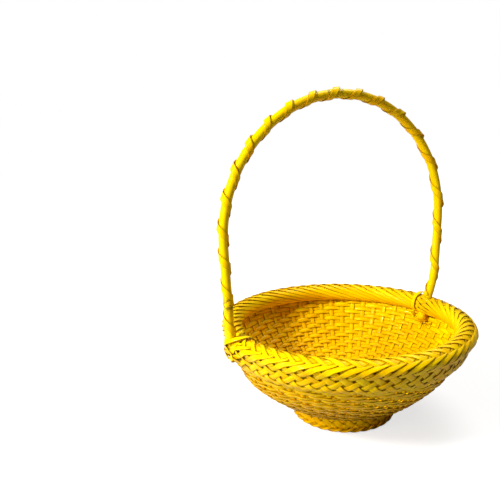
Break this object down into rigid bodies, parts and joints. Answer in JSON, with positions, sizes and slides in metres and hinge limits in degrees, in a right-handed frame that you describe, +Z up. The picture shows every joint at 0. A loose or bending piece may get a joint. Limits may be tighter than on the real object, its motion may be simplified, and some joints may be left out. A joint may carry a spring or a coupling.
{
  "type": "easter basket",
  "caption": "Round woven bamboo easter basket, painted yellow, with a twill bowl, a rolled and plaited rim, a plaited foot ring and a tall arched handle wound with a flat strip.",
  "frame": {"origin": "centre of the foot ring, on the surface that the basket stands on", "axes": "+Z up; the handle's arch lies in the XZ plane, with its feet at -X and +X"},
  "size_m": [0.2352, 0.2248, 0.2883],
  "materials": {
    "painted_weave": "yellow lacquer over flat split bamboo, satin with small glints",
    "painted_border": "yellow lacquer over folded split bamboo, satin, darker in the folds",
    "painted_hoop": "thin yellow lacquer over a split bamboo hoop, satin",
    "painted_rod": "yellow lacquer over a bent bamboo rod, satin, faint nodes",
    "painted_wrap": "yellow lacquer over a flat bamboo binding strip, semi-gloss"
  },
  "bodies": {
    "root": {"base_strips_lengthwise": "painted_weave", "base_strips_crosswise": "painted_weave", "base_filler_rows": "painted_weave", "wall_weft": "painted_weave", "roll_core_hoop": "painted_hoop", "band_hoop": "painted_hoop", "border_falling_strips": "painted_border", "border_rising_strips": "painted_border", "foot_hoop": "painted_hoop", "foot_plait": "painted_border", "foot_edge_cord": "painted_border", "handle_rod": "painted_rod", "handle_wrap": "painted_wrap", "near_lashing": "painted_wrap", "far_lashing": "painted_wrap"}
  },
  "joints": []
}
